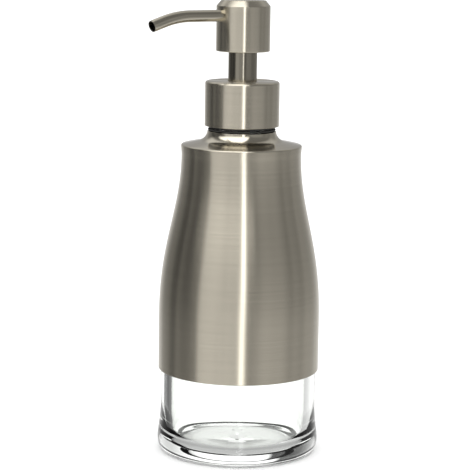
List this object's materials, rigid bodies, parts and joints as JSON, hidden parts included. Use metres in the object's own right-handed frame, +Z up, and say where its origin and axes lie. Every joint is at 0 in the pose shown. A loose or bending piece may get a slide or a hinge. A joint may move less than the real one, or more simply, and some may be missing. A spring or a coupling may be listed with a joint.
{
  "type": "soap pump dispenser",
  "caption": "Refillable soap dispenser: a glass bottle in a waisted brushed steel sleeve, with a screw-on hand pump, a collar, and a press head with a thin bent spout.",
  "frame": {"origin": "on the bottle's axis, on the surface that the bottle stands on", "axes": "+Z up along the bottle's axis, -X the way the spout points at rest"},
  "size_m": [0.088, 0.0748, 0.2089],
  "materials": {
    "brushed_steel": "brushed round the axis, satin",
    "spring_steel": "bright drawn",
    "clear_glass": "clear, fire polished",
    "clear_plastic": "clear, smooth",
    "white_plastic": "natural moulded",
    "black_plastic": "moulded, satin",
    "black_rubber": "matte"
  },
  "bodies": {
    "bottle": {"glass_bottle": "clear_glass", "steel_sleeve": "brushed_steel", "neck_gasket": "black_rubber"},
    "pump": {"closure_gasket": "black_rubber", "pump_housing": "white_plastic", "stem_guide": "white_plastic", "rod_wiper": "black_rubber", "ball_cage": "white_plastic", "return_spring": "spring_steel", "dip_tube": "clear_plastic"},
    "closure": {"closure_cap": "black_plastic", "collar_shell": "brushed_steel"},
    "plunger": {"piston_cup": "black_rubber", "spring_follower": "white_plastic"},
    "head": {"piston_rod": "white_plastic", "stem_cover": "brushed_steel", "head_core": "white_plastic", "head_shell": "brushed_steel", "spout_tube": "brushed_steel", "spout_seal": "black_rubber"},
    "inlet_valve": {"inlet_ball": "spring_steel"},
    "outlet_valve": {"outlet_ball": "spring_steel"}
  },
  "joints": [
    {"name": "pump_lift", "type": "slide", "parent": "bottle", "child": "pump", "axis": [0, 0, 1], "range_m": [0, 0.0053]},
    {"name": "cap_turn", "type": "hinge", "parent": "pump", "child": "closure", "pos_m": [0, 0, 0.16], "axis": [0, 0, 1], "range_deg": [0, 450]},
    {"name": "head_press", "type": "slide", "parent": "pump", "child": "plunger", "axis": [0, 0, -1], "range_m": [0, 0.0115], "stiffness_N_per_m": 500, "springref_m": -0.01, "deforming": ["return_spring"]},
    {"name": "head_swivel", "type": "hinge", "parent": "plunger", "child": "head", "pos_m": [0, 0, 0.18], "axis": [0, 0, 1], "continuous": true},
    {"name": "inlet_ball_lift", "type": "slide", "parent": "pump", "child": "inlet_valve", "axis": [0, 0, 1], "range_m": [0, 0.0015]},
    {"name": "outlet_ball_lift", "type": "slide", "parent": "head", "child": "outlet_valve", "axis": [0, 0, 1], "range_m": [0, 0.0012]}
  ],
  "couplings": [
    {"joint": "pump_lift", "follows": "cap_turn", "m_per_rad": 0.0006737}
  ]
}
